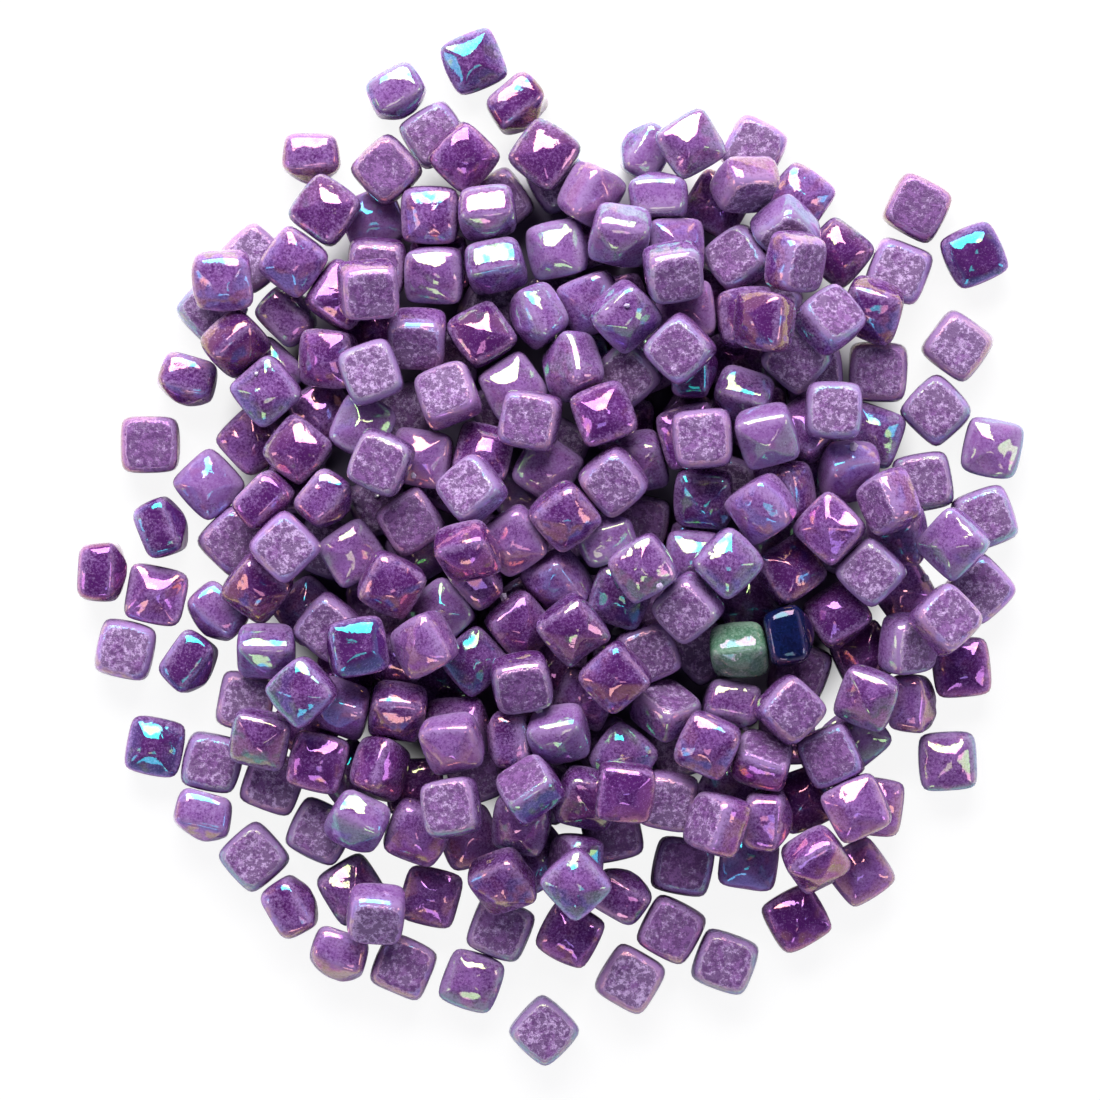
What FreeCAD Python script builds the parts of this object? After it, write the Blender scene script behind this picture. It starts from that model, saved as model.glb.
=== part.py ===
"""Heap of loose glass mosaic tiles as they settle on a level floor.

Every piece is the same pressed glass tile: a square block with clipped
corners, sides that draw in towards a flat bevelled back, and a front that
rises in eight low facets to a small flat. The floor course is laid flat and
slid apart. The tiles over it start where they are seen from above, then sink,
slide and rock until each rests on others. Millimetres, +Z up, origin under
the middle of the heap at floor level.
"""
import FreeCAD, Part
import math
import os
import random

import Sketcher
from FreeCAD import Rotation, Vector

# Driving dimensions: (alias, value, what it is).
SIZES = (
    ("tile_width", 8.0, "width of the tile across its front shoulder, mm"),
    ("corner_cut", 1.4, "length that each clipped corner takes off a side, mm"),
    ("shoulder_height", 4.6, "height of the front shoulder over the back, mm"),
    ("peak_rise", 1.7, "height of the flat peak over the shoulder, mm"),
    ("peak_flat", 1.6, "width of the small flat at the peak, mm"),
    ("side_draft", 6.0, "slope by which the sides draw in to the back, degrees"),
    ("back_bevel", 0.6, "width of the bevel round the back, mm"),
    ("contact_gap", 0.04, "clearance left between two tiles that touch, mm"),
    ("spread_pitch", 7.6, "tile width for which the places below are written, mm"),
    ("hidden_pitch", 8.8, "spacing of the hidden tiles on the floor, mm"),
)

# Every tile is written (x, y, lean, bearing, twist). x and y are the place of
# its middle in mm. Lean is how far the front has tipped from facing straight
# up: 0 front up, about 90 on its side, 180 back up. Bearing is the direction
# in plan that the front has tipped towards, counter-clockwise from +X, and
# twist is the tile's turn about its own axis. Angles are in degrees.
LOOSE_TILES = (
    (-9.6, 60.4, 0, 0, 23),
    (52.6, 36.4, 0, 0, 24),
    (50.4, 24.7, 180, -37, 0),
    (54.9, 12.3, 0, 0, -12),
    (-45.4, 20.6, 80, 255, 0),
    (-50.1, 12.7, 180, 0, 0),
    (-48.3, 2.5, 80, 22, 0),
    (-55.7, -3.3, 80, -3, 0),
    (-49.2, -6.0, 0, 0, -12),
    (-53.1, -12.9, 180, -13, 0),
    (-49.2, -24.9, 0, 0, -10),
    (-43.6, -33.6, 75, 255, 0),
    (49.3, -26.6, 0, 0, 3),
    (-32.2, -44.7, 80, 30, 0),
    (-26.8, -50.8, 75, 250, 0),
    (-18.4, -52.3, 180, -23, 0),
    (-10.0, -54.2, 0, 0, -19),
    (-0.9, -60.4, 180, 47, 0),
    (9.8, -54.0, 180, -30, 0),
    (21.4, -51.7, 180, -20, 0),
    (30.4, -46.4, 0, 0, 29),
)

FLOOR_TILES = (
    # Back edge of the heap.
    (-30.0, 48.2, 80, 270, 0),
    (-19.0, 56.2, 80, 300, 0),
    (-14.8, 51.5, 180, 32, 0),
    (-4.0, 55.0, 75, 310, 0),
    (11.6, 49.4, 80, 150, 0),
    (25.2, 49.6, 180, -28, 0),
    (45.6, 42.3, 180, -28, 0),
    (42.7, 34.4, 180, -21, 0),
    (36.2, 36.4, 0, 0, 50),
    (31.1, 43.6, 0, 0, -35),
    (20.6, 42.6, 0, 0, -30),
    (-6.5, 42.8, 180, 35, 0),
    (-22.2, 40.4, 0, 0, 22),
    # Left edge.
    (-37.2, 36.0, 180, 42, 0),
    (-42.3, 29.6, 180, 44, 0),
    (-32.8, 28.9, 80, 45, 0),
    (-37.3, 13.3, 0, 0, 42),
    (-42.2, 7.4, 0, 0, 43),
    (-40.0, 1.0, 180, 44, 0),
    (-42.2, -8.6, 80, 228, 0),
    (-44.7, -14.2, 100, -35, 0),
    (-38.1, -19.4, 180, -12, 0),
    (-42.2, -27.1, 180, -12, 0),
    (-34.8, -29.4, 180, -20, 0),
    # Front edge.
    (-36.4, -38.5, 180, 42, 0),
    (-29.3, -36.3, 180, -25, 0),
    (-25.3, -41.9, 0, 0, 32),
    (-15.1, -43.8, 0, 0, -14),
    (-6.5, -47.7, 180, -22, 0),
    (2.3, -48.2, 0, 0, -27),
    (9.3, -42.0, 80, 60, 0),
    (8.0, -37.6, 180, 12, 0),
    (14.1, -46.9, 180, -28, 0),
    (16.4, -40.0, 180, -12, 0),
    (24.6, -39.2, 0, 0, -8),
    (38.4, -40.4, 0, 0, 33),
    (40.3, -31.6, 0, 0, -8),
    (38.5, -24.1, 0, 0, 38),
    (31.4, -31.6, 0, 0, 20),
    # Right edge.
    (44.9, -19.7, 80, 0, 0),
    (50.6, -15.2, 0, 0, 6),
    (53.5, -5.1, 180, 44, 0),
    (53.3, 3.9, 180, 20, 0),
    (46.2, 8.4, 180, 10, 0),
    (47.7, 16.7, 180, 44, 0),
    (41.0, 13.4, 0, 0, -20),
    (40.6, 21.7, 180, -3, 0),
    # Deep in the gaps of the heap.
    (-28.5, 17.0, 0, 0, 30),
    (-19.0, 16.8, 180, 10, 0),
    (-23.2, 27.2, 0, 0, 12),
    (22.8, 23.4, 0, 0, 10),
    (32.8, 21.6, 180, 4, 0),
    (11.0, 3.0, 180, -10, 0),
    (24.3, -7.2, 0, 0, 28),
    (43.8, -5.4, 0, 0, 35),
    (-13.2, -17.0, 0, 0, 12),
    (8.0, -25.3, 180, 35, 0),
    (-30.3, -8.0, 0, 0, 40),
    (-1.6, -38.8, 0, 0, 35),
    (-10.4, -36.3, 0, 0, 20),
    (19.0, -13.0, 180, 40, 0),
    (30.8, -15.6, 180, -20, 0),
    (-5.8, 16.8, 180, 30, 0),
    (-21.5, 5.2, 180, 25, 0),
    (0.4, 12.6, 180, -30, 0),
    (14.6, -25.6, 180, 15, 0),
)

SECOND_TILES = (
    # Back third of the heap.
    (-0.4, 48.2, 6, 90, 48),
    (-11.3, 47.3, 8, 270, 37),
    (-20.3, 46.4, 176, 40, 0),
    (17.2, 49.6, 6, 240, -32),
    (4.5, 43.2, 60, 325, 0),
    (12.8, 42.2, 85, 88, 0),
    (-14.3, 41.2, 12, 265, 5),
    (-28.6, 40.8, 8, 90, -35),
    (-30.3, 35.4, 26, 235, 0),
    (-14.9, 33.8, 8, 270, 3),
    (-7.0, 35.2, 50, 288, 0),
    (1.2, 37.6, 15, 195, 0),
    (18.2, 36.2, 10, 90, 62),
    (26.4, 37.7, 170, 50, 0),
    (39.7, 29.4, 26, 250, 0),
    (-38.7, 24.9, 65, -50, 0),
    (-28.4, 24.0, 25, 200, -10),
    (-15.1, 26.0, 152, 65, 0),
    (-8.7, 26.1, 14, 90, -38),
    (-1.9, 27.9, 62, 198, 0),
    (4.1, 29.4, 24, 200, 22),
    (23.4, 30.2, 16, 90, 10),
    (17.6, 27.9, 12, 60, -40),
    # Middle band.
    (-35.1, 19.6, 10, 225, 0),
    (-30.6, 11.8, 14, 220, 0),
    (-33.9, 6.7, 100, -42, 0),
    (-25.6, 13.9, 15, 90, -28),
    (-14.6, 10.8, 10, 250, 0),
    (-17.5, 3.3, 174, 28, 0),
    (-24.5, -0.8, 12, 90, 32),
    (-28.1, 5.6, 75, -38, 0),
    (-4.3, 21.2, 10, 90, -40),
    (2.0, 21.7, 28, 150, -30),
    (8.2, 21.4, 168, 42, 0),
    (-2.4, 9.2, 8, 270, 45),
    (12.1, 10.0, 40, -60, 0),
    (16.3, 14.6, 16, 100, 0),
    (23.7, 19.1, 55, 285, 0),
    (18.3, 6.0, 35, 250, 0),
    (30.6, 6.9, 66, 200, 0),
    (35.1, 9.9, 42, 262, 0),
    (17.8, -0.5, 14, 90, -80),
    (47.4, 0.3, 12, 225, 0),
    (-4.3, -1.2, 22, 240, 0),
    (-37.0, -4.9, 28, 235, 0),
    (-11.1, -8.4, 12, 225, 0),
    (-4.2, -9.3, 30, 295, 0),
    (7.6, -7.6, 14, 250, 0),
    (1.2, -4.2, 50, 262, 12),
    # Front third.
    (-27.9, -9.9, 165, 48, 0),
    (-23.4, -21.3, 60, 250, 0),
    (-18.8, -19.9, 16, 250, 0),
    (-9.0, -15.7, 25, 205, 0),
    (-20.8, -27.3, 55, -35, 0),
    (-28.7, -26.8, 12, 260, 0),
    (-16.9, -34.9, 24, 250, 0),
    (-23.8, -33.8, 55, 250, 0),
    (-5.8, -24.0, 82, 170, 0),
    (-0.8, -23.3, 45, 300, 0),
    (4.6, -19.3, 16, 250, 0),
    (-3.4, -34.8, 20, 250, 0),
    (4.0, -32.3, 28, 250, 0),
    (12.2, -12.6, 165, 40, 0),
    (22.4, -19.0, 70, 250, 0),
    (34.8, -9.0, 10, 225, 0),
    (43.3, -12.2, 125, 180, 0),
    (27.2, -33.9, 85, 6, 0),
    (13.6, -18.9, 140, 250, 0),
    (32.7, -38.6, 38, -65, 0),
    (34.6, -25.7, 174, 30, 0),
    (14.5, -30.9, 174, -12, 0),
)

TOP_TILES = (
    (-40.8, 32.0, 26, 265, 0),
    (-22.8, 31.9, 154, 90, 0),
    (9.3, 38.8, 38, 268, 0),
    (14.5, 33.8, 150, 96, 0),
    (30.0, 35.3, 122, 184, 0),
    (9.4, 28.8, 34, 312, 0),
    (15.7, 24.3, 176, 45, 0),
    (25.9, 27.6, 42, 174, 0),
    (33.3, 27.7, 162, 205, 0),
    (34.8, 16.8, 178, 0, 0),
    (-22.4, 21.6, 172, 18, 0),
    (-12.4, 18.6, 162, 285, 0),
    (-2.7, 15.4, 174, -12, 0),
    (6.4, 16.6, 10, 90, -68),
    (18.6, 13.4, 176, 5, 0),
    (26.8, 13.4, 28, 286, 0),
    (-21.2, 10.4, 172, -22, 0),
    (-9.8, 6.9, 164, -48, 0),
    (-33.1, 0.1, 176, 45, 0),
    (1.9, 2.9, 32, -50, 0),
    (6.9, 7.3, 172, 42, 0),
    (25.3, 4.2, 14, 200, 0),
    (34.1, 3.1, 12, 250, -34),
    (41.2, 5.7, 132, 22, 0),
    (22.0, -1.6, 6, 234, 0),
    (11.3, -2.9, 18, 250, -40),
    (-10.1, -0.7, 48, 275, 18),
    (-19.7, -4.9, 20, 245, 0),
    (29.9, -3.5, 18, 48, -10),
    (39.6, -3.0, 173, 46, 0),
    (48.4, -9.3, 165, 226, 0),
    (16.3, -7.7, 174, 43, 0),
    (-35.3, -13.2, 50, 268, 0),
    (-23.4, -12.3, 18, 10, 0),
    (-16.9, -12.3, 15, 240, -30),
    (2.4, -10.4, 20, 275, 35),
    (-30.3, -18.3, 14, 222, 0),
    (-36.1, -24.2, 24, 260, 0),
    (-3.9, -16.8, 152, 98, 0),
    (7.8, -16.0, 18, 225, 0),
    (29.2, -20.4, 175, 46, 0),
    (18.8, -24.0, 8, 250, 0),
    (39.3, -18.6, 16, 258, 0),
    (-12.3, -24.4, 28, 275, 12),
    (-12.6, -31.7, 166, 20, 0),
    (-2.7, -29.9, 127, -52, 0),
    (25.8, -26.9, 140, 249, 0),
    (8.9, -30.3, 26, 262, 0),
    (20.7, -34.4, 126, -20, 0),
    (37.6, -32.5, 8, 200, 0),
    (-21.9, -45.7, 150, 92, 0),
    (-6.0, -41.3, 28, 262, 35),
    (3.0, -41.5, 12, 250, -28),
)

# Tiles deep in the gaps between the upper ones, of which little shows.
DEEP_TILES = (
    (-8.4, 12.2, 20, 60, 10),
    (-28.4, 28.8, 15, 300, 0),
    (-5.0, 4.4, 30, 20, 20),
    (6.0, -1.0, 70, 140, 0),
    (-19.6, 36.2, 170, 80, 30),
    (18.5, 20.6, 80, 30, 0),
    (27.8, 21.2, 165, 10, 45),
    (31.0, 15.0, 12, 110, 25),
    (37.2, -13.8, 10, 200, 10),
    (21.2, -29.8, 30, 170, 0),
    (2.1, -35.9, 150, 310, 35),
    (10.0, -23.1, 20, 270, 15),
    (-9.0, -20.6, 170, 45, 10),
    (-8.1, -5.2, 40, 90, 0),
    (-20.8, -16.9, 75, 210, 0),
    (-34.2, 24.4, 20, 240, 5),
    (22.9, 35.0, 172, 60, 20),
    (-11.1, 40.6, 30, 180, 0),
    (26.0, 44.4, 80, 70, 0),
    (42.2, 0.6, 20, 260, 20),
)

GREEN_TILE = (23.9, -13.4, 40, 262, 8)
BLUE_TILE = (28.9, -10.2, 78, 20, 0)

# The hidden tiles are laid on a loose grid, each moved and turned a little. A
# hidden tile has an upper tile within HIDDEN_COVER of it and no floor tile
# within HIDDEN_ROOM, as shares of the tile's width.
HIDDEN_SEED = 7
HIDDEN_SHIFT = 0.10
HIDDEN_ROOM = 0.85
HIDDEN_COVER = 0.8
HIDDEN_REACH = 9

# A face can carry a tile at rest if it is level with the back or is at least
# this share of the largest face.
REST_SHARE = 0.3
LEVEL_NORMAL = 0.99
SLACK = 1e-6

# Heights at which the middles of the upper tiles start, as shares of the
# tile's height, and how firmly the deep tiles are held to their places.
DEEP_HEIGHT = 1.016
SECOND_HEIGHT = 1.397
TOP_HEIGHT = 2.159
DEEP_HOLD = 0.15
# The tiles sink by a step that shrinks from FIRST_FALL to LAST_FALL, as
# shares of the width, and are drawn back to their seen places and turns by
# these shares a round. In the clearing rounds, of which a heap takes as many
# as it needs, they only push one another apart.
FIRST_FALL = 0.03
LAST_FALL = 0.001
PLACE_PULL = 0.08
TURN_PULL = 0.08
RELAX_ROUNDS = 110
CLEARING_ROUNDS = 240
# Every so many rounds a pair of tiles is tried across all its face planes.
THOROUGH_EVERY = 4
# The last drop on to the tiles beneath starts with this share of the width.
LONGEST_DROP = 0.1
# Square of the tile's radius of gyration, as a share of its width squared.
GYRATION = 0.11

# A level push is worth trying across planes at least this upright.
UPRIGHT = 0.5
SPREAD_ROUNDS = 60
# Overlap that counts as none, as a share of the contact gap.
CLEAR_SHARE = 0.5
# Tiles whose middles are further apart in plan than this share of twice their
# reach can't meet.
PAIR_REACH = 1.1

HALF = "<<sizes>>.tile_width / 2"
SHORT = "(<<sizes>>.tile_width / 2 - <<sizes>>.corner_cut)"
SHOULDER = "<<sizes>>.shoulder_height"
RISE = "<<sizes>>.peak_rise"

# A facet slopes from a foot on the shoulder to a top on the flat: its name,
# its turn about the tile's axis, and the distances of foot and top from it.
FACETS = (
    ("front_facet", 0, "<<sizes>>.tile_width / 2", "<<sizes>>.peak_flat / 2"),
    ("corner_facet", 45, "(<<sizes>>.tile_width - <<sizes>>.corner_cut) / sqrt(2)",
     "<<sizes>>.peak_flat / sqrt(2)"),
)
SIDES = 4
FULL_TURN = 360

# Corners of the clipped square, counter-clockwise: sign of x, sign of y and
# whether the long reach lies along y.
CORNERS = (
    (1, -1, False), (1, 1, False), (1, 1, True), (-1, 1, True),
    (-1, 1, False), (-1, -1, False), (-1, -1, True), (1, -1, True),
)

UP = Vector(0, 0, 1)
ALONG_Y = Vector(0, 1, 0)


def make_sheet(doc):
    """Write the driving dimensions into a sheet, each with its alias."""
    sheet = doc.addObject("Spreadsheet::Sheet", "sizes")
    for row, (alias, value, meaning) in enumerate(SIZES, start=1):
        sheet.set("A%d" % row, alias)
        sheet.set("B%d" % row, str(value))
        sheet.set("C%d" % row, meaning)
        sheet.setAlias("B%d" % row, alias)
    doc.recompute()
    return sheet


def origin_feature(body, role):
    """One of the body's own origin planes or axes."""
    return next(feature for feature in body.Origin.OriginFeatures if feature.Role == role)


def sketch_on(body, role, name):
    """Attach an empty sketch to one of the body's origin planes."""
    sketch = body.newObject("Sketcher::SketchObject", name)
    sketch.AttachmentSupport = [(origin_feature(body, role), "")]
    sketch.MapMode = "FlatFace"
    return sketch


def close_loop(sketch, points):
    """Draw a closed loop of lines through points, joined end to start."""
    count = len(points)
    for i in range(count):
        sketch.addGeometry(Part.LineSegment(points[i], points[(i + 1) % count]), False)
    for i in range(count):
        sketch.addConstraint(Sketcher.Constraint("Coincident", i, 2, (i + 1) % count, 1))


def pin(sketch, kind, line, value, sign, size):
    """Hold a line's start at a signed distance from the sketch's origin."""
    index = sketch.addConstraint(Sketcher.Constraint(kind, -1, 1, line, 1, value))
    sketch.setExpression("Constraints[%d]" % index, size if sign > 0 else "-" + size)


def clipped_square(body, sheet, name, height=None):
    """Sketch the tile's outline: a square with its four corners clipped."""
    sketch = sketch_on(body, "XY_Plane", name)
    if height:
        sketch.setExpression(".AttachmentOffset.Base.z", height)
    half = sheet.tile_width / 2
    short = half - sheet.corner_cut
    points = []
    for sign_x, sign_y, along_y in CORNERS:
        reach_x, reach_y = (short, half) if along_y else (half, short)
        points.append(Vector(sign_x * reach_x, sign_y * reach_y, 0))
    close_loop(sketch, points)
    for i, (sign_x, sign_y, along_y) in enumerate(CORNERS):
        pin(sketch, "DistanceX", i, points[i].x, sign_x, SHORT if along_y else HALF)
        pin(sketch, "DistanceY", i, points[i].y, sign_y, HALF if along_y else SHORT)
    return sketch


def cut_facet(doc, body, name, turn, foot, top):
    """Cut one facet's slope from the crown, and repeat it on all four sides."""
    profile = sketch_on(body, "XZ_Plane", name + "_profile")
    profile.AttachmentOffset = FreeCAD.Placement(Vector(), Rotation(ALONG_Y, turn))
    # The cut runs as far past the foot as the foot lies from the top.
    out = "2 * %s - %s" % (foot, top)
    down = "%s - %s" % (SHOULDER, RISE)
    up = "%s + %s" % (SHOULDER, RISE)
    corners = ((top, up), (out, down), (out, up))
    rough = (Vector(1, 2, 0), Vector(3, 1, 0), Vector(3, 2, 0))
    close_loop(profile, rough)
    for i, (across, height) in enumerate(corners):
        pin(profile, "DistanceX", i, rough[i].x, 1, across)
        pin(profile, "DistanceY", i, rough[i].y, 1, height)
    doc.recompute()
    cut = body.newObject("PartDesign::Pocket", name)
    cut.Profile = profile
    cut.Type = "ThroughAll"
    cut.SideType = "Symmetric"
    doc.recompute()
    ring = body.newObject("PartDesign::PolarPattern", name + "_ring")
    ring.Originals = [cut]
    ring.Axis = (origin_feature(body, "Z_Axis"), [""])
    ring.Angle = FULL_TURN
    ring.Occurrences = SIDES
    body.Tip = ring
    doc.recompute()
    return ring


def make_tile(doc, sheet):
    """Model the one tile: drafted block, faceted front and bevelled back."""
    body = doc.addObject("PartDesign::Body", "tile_form")
    outline = clipped_square(body, sheet, "tile_outline")
    block = body.newObject("PartDesign::Pad", "block")
    block.Profile = outline
    block.setExpression("Length", SHOULDER)
    doc.recompute()

    faces = block.Shape.Faces
    front = max(range(len(faces)), key=lambda k: faces[k].CenterOfMass.z)
    sides = [k for k, face in enumerate(faces) if abs(face.normalAt(0, 0).z) < UPRIGHT]
    draft = body.newObject("PartDesign::Draft", "drafted_sides")
    draft.Base = (block, ["Face%d" % (k + 1) for k in sides])
    draft.NeutralPlane = (block, ["Face%d" % (front + 1)])
    draft.Reversed = True
    draft.setExpression("Angle", "<<sizes>>.side_draft")
    doc.recompute()

    crown = body.newObject("PartDesign::Pad", "crown")
    crown.Profile = clipped_square(body, sheet, "shoulder_outline", SHOULDER)
    crown.setExpression("Length", RISE)
    doc.recompute()
    for name, turn, foot, top in FACETS:
        faceted = cut_facet(doc, body, name, turn, foot, top)

    rim = [k for k, edge in enumerate(faceted.Shape.Edges) if edge.BoundBox.ZMax < SLACK]
    bevel = body.newObject("PartDesign::Chamfer", "bevelled_back")
    bevel.Base = (faceted, ["Edge%d" % (k + 1) for k in rim])
    bevel.setExpression("Size", "<<sizes>>.back_bevel")
    body.Tip = bevel
    doc.recompute()
    return body


class TileForm:
    """Corners and face planes of the tile, measured from its middle."""

    def __init__(self, shape, sheet):
        self.width = sheet.tile_width
        self.height = sheet.shoulder_height + sheet.peak_rise
        self.middle = UP * (self.height / 2)
        corners = [vertex.Point - self.middle for vertex in shape.Vertexes]
        # The tile is the same in each eighth, so one eighth's corners are enough.
        self.eighth = [c for c in corners if c.x >= c.y - SLACK and c.y >= -SLACK]
        self.reach = max(corner.Length for corner in corners)
        self.planes = []
        self.rest_normals = []
        largest = max(face.Area for face in shape.Faces)
        for face in shape.Faces:
            normal = face.normalAt(0, 0)
            self.planes.append((normal, normal.dot(face.CenterOfMass - self.middle)))
            if face.Area > REST_SHARE * largest or abs(normal.z) > LEVEL_NORMAL:
                self.rest_normals.append(normal)

    def far_corner(self, direction):
        """Corner that lies furthest along a direction, both in the tile's own frame."""
        x, y, z = abs(direction.x), abs(direction.y), direction.z
        swap = x < y
        if swap:
            x, y = y, x
        best = max(self.eighth, key=Vector(x, y, z).dot)
        across, along = (best.y, best.x) if swap else (best.x, best.y)
        return Vector(math.copysign(across, direction.x), math.copysign(along, direction.y), best.z)


class Tile:
    """A tile of the heap: the place and turn it was seen in, and those it has now."""

    def __init__(self, form, x, y, turn, height, hold):
        self.form = form
        self.seen = Vector(x, y, 0)
        self.seen_turn = turn
        self.hold = hold
        self.middle = Vector(x, y, height)
        self.turn = turn
        self.fixed = False

    def far_corner(self, direction):
        """Corner that lies furthest along a direction, from the tile's middle."""
        own = self.turn.inverted().multVec(direction)
        return self.turn.multVec(self.form.far_corner(own))

    def lay_flat(self):
        """Turn the tile onto the broad face it leans onto most, and lay it on the floor."""
        down = max((self.turn.multVec(n) for n in self.form.rest_normals), key=(-UP).dot)
        self.turn = Rotation(down, -UP).multiply(self.turn)
        self.middle.z = -self.far_corner(-UP).z

    def under_floor(self):
        """How far the lowest corner is under the floor, and that corner."""
        corner = self.far_corner(-UP)
        return -(self.middle.z + corner.z), corner

    def nudge(self, push, arm):
        """Move by a push at the end of an arm from the middle, and turn with it."""
        self.middle += push
        spin = arm.cross(push) * (1.0 / (GYRATION * self.form.width ** 2))
        if spin.Length > SLACK:
            self.turn = Rotation(spin, math.degrees(spin.Length)).multiply(self.turn)

    def give(self, normal, arm):
        """How far a unit of push at the end of an arm moves that point, 0 if fixed."""
        if self.fixed:
            return 0.0
        return 1.0 + arm.cross(normal).Length ** 2 / (GYRATION * self.form.width ** 2)

    def draw_back(self, fall):
        """Sink by a step and be drawn back to the seen place and turn."""
        away = self.seen - self.middle
        pull = self.hold * PLACE_PULL
        self.middle += Vector(pull * away.x, pull * away.y, -fall)
        self.turn = self.turn.slerp(self.seen_turn, self.hold * TURN_PULL)

    def stay_on_floor(self):
        """Push up a tile whose lowest corner has passed the floor."""
        depth, corner = self.under_floor()
        if depth > 0:
            self.nudge(UP * (depth / self.give(UP, corner)), corner)


class Pair:
    """Two neighbouring tiles, and the face plane that last told most about them."""

    def __init__(self, tile, other):
        self.tiles = (tile, other)
        self.planes = 2 * len(tile.form.planes)
        self.last = 0

    def across(self, index, gap):
        """How far one tile has passed a face plane of the other, plus the gap."""
        owner, partner = self.tiles if index % 2 else self.tiles[::-1]
        normal, offset = owner.form.planes[index // 2]
        normal = owner.turn.multVec(normal)
        spot = partner.middle + partner.far_corner(-normal)
        return gap + offset - normal.dot(spot - owner.middle), normal, spot, owner, partner

    def overlap(self, gap, level, thorough):
        """The shallowest overlap over the face planes, or None if a plane parts them."""
        found = self.across(self.last, gap)
        if found[0] <= 0:
            return None
        if not thorough:
            return found
        least = None
        for index in range(self.planes):
            trial = self.across(index, gap)
            if trial[0] <= 0:
                self.last = index
                return None
            upright = math.hypot(trial[1].x, trial[1].y) if level else 1.0
            if upright > UPRIGHT and (least is None or trial[0] / upright < least):
                least = trial[0] / upright
                self.last = index
                found = trial
        return found

    def part(self, gap, thorough):
        """Push the two apart where they overlap, and return how deep they did."""
        found = self.overlap(gap, False, thorough)
        if found is None:
            return 0.0
        depth, normal, spot, owner, partner = found
        owner_arm = spot - owner.middle
        partner_arm = spot - partner.middle
        give = owner.give(normal, owner_arm) + partner.give(normal, partner_arm)
        push = normal * (depth / give)
        if not owner.fixed:
            owner.nudge(-push, owner_arm)
        if not partner.fixed:
            partner.nudge(push, partner_arm)
        return depth

    def part_level(self, gap):
        """Slide the two apart over the floor, without turning, where they overlap."""
        found = self.overlap(gap, True, True)
        if found is None:
            return 0.0
        depth, normal, _, owner, partner = found
        upright = Vector(normal.x, normal.y, 0)
        push = upright * (depth / upright.Length ** 2)
        free = [tile for tile in (owner, partner) if not tile.fixed]
        for tile in free:
            tile.middle += push * ((1.0 if tile is partner else -1.0) / len(free))
        return depth


class Heap:
    """Tiles laid so far, and the rules by which the next ones come to rest."""

    def __init__(self, form, gap, scale):
        self.form = form
        self.gap = gap
        self.slack = gap * CLEAR_SHARE
        self.scale = scale
        self.tiles = []

    def read(self, rows, height=0.0, hold=1.0):
        """Make the written tiles at a height, in shares of the tile's height."""
        tiles = []
        for x, y, lean, bearing, twist in rows:
            turn = read_turn(lean, bearing, twist)
            start = height * self.form.height
            tiles.append(Tile(self.form, self.scale * x, self.scale * y, turn, start, hold))
        return tiles

    def pairs(self, tiles):
        """Pairs of neighbours among some loose tiles, and with the tiles laid so far."""
        reach = 2 * self.form.reach * PAIR_REACH
        found = []
        for i, tile in enumerate(tiles):
            for other in tiles[i + 1:] + self.tiles:
                apart = other.middle - tile.middle
                if math.hypot(apart.x, apart.y) < reach:
                    found.append(Pair(tile, other))
        return found

    def keep(self, tiles):
        """Fix tiles where they are."""
        for tile in tiles:
            tile.fixed = True
        self.tiles.extend(tiles)
        return tiles

    def lay_floor(self, rows):
        """Lay tiles flat on the floor and slide them apart."""
        tiles = self.read(rows)
        for tile in tiles:
            tile.lay_flat()
        pairs = self.pairs(tiles)
        for _ in range(SPREAD_ROUNDS):
            if max([pair.part_level(self.gap) for pair in pairs]) < self.slack:
                break
        return tiles

    def lay_hidden(self, rows):
        """Lay hidden floor tiles, less those that find no room."""
        kept = []
        for tile in self.lay_floor(rows):
            pairs = [Pair(tile, other) for other in self.tiles + kept]
            if all(pair.overlap(0.0, True, True) is None for pair in pairs):
                kept.append(tile)
        return kept

    def settle(self, tiles):
        """Let loose tiles sink, slide and rock until they rest clear of one another."""
        pairs = self.pairs(tiles)
        for index in range(RELAX_ROUNDS + CLEARING_ROUNDS):
            clearing = index >= RELAX_ROUNDS
            if not clearing:
                fall = FIRST_FALL * (LAST_FALL / FIRST_FALL) ** (index / RELAX_ROUNDS)
                for tile in tiles:
                    tile.draw_back(fall * self.form.width)
            thorough = clearing or index % THOROUGH_EVERY == 0
            depths = [pair.part(self.gap, thorough) for pair in pairs]
            for tile in tiles:
                tile.stay_on_floor()
            if clearing and max(depths) < self.slack:
                break
        for tile in sorted(tiles, key=lambda tile: tile.middle.z):
            self.let_down(tile, [pair for pair in pairs if tile in pair.tiles])
        return self.keep(tiles)

    def let_down(self, tile, pairs):
        """Lower a tile until it is just clear of what lies beneath it."""
        step = LONGEST_DROP * self.form.width
        while step > self.slack:
            tile.middle.z -= step
            held = tile.under_floor()[0] > 0
            if held or any(pair.overlap(self.slack, False, True) for pair in pairs):
                tile.middle.z += step
                step /= 2


def read_turn(lean, bearing, twist):
    """Rotation of a tile whose front has tipped by lean towards bearing."""
    return Rotation(UP, bearing) * Rotation(ALONG_Y, lean) * Rotation(UP, twist)


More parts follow.
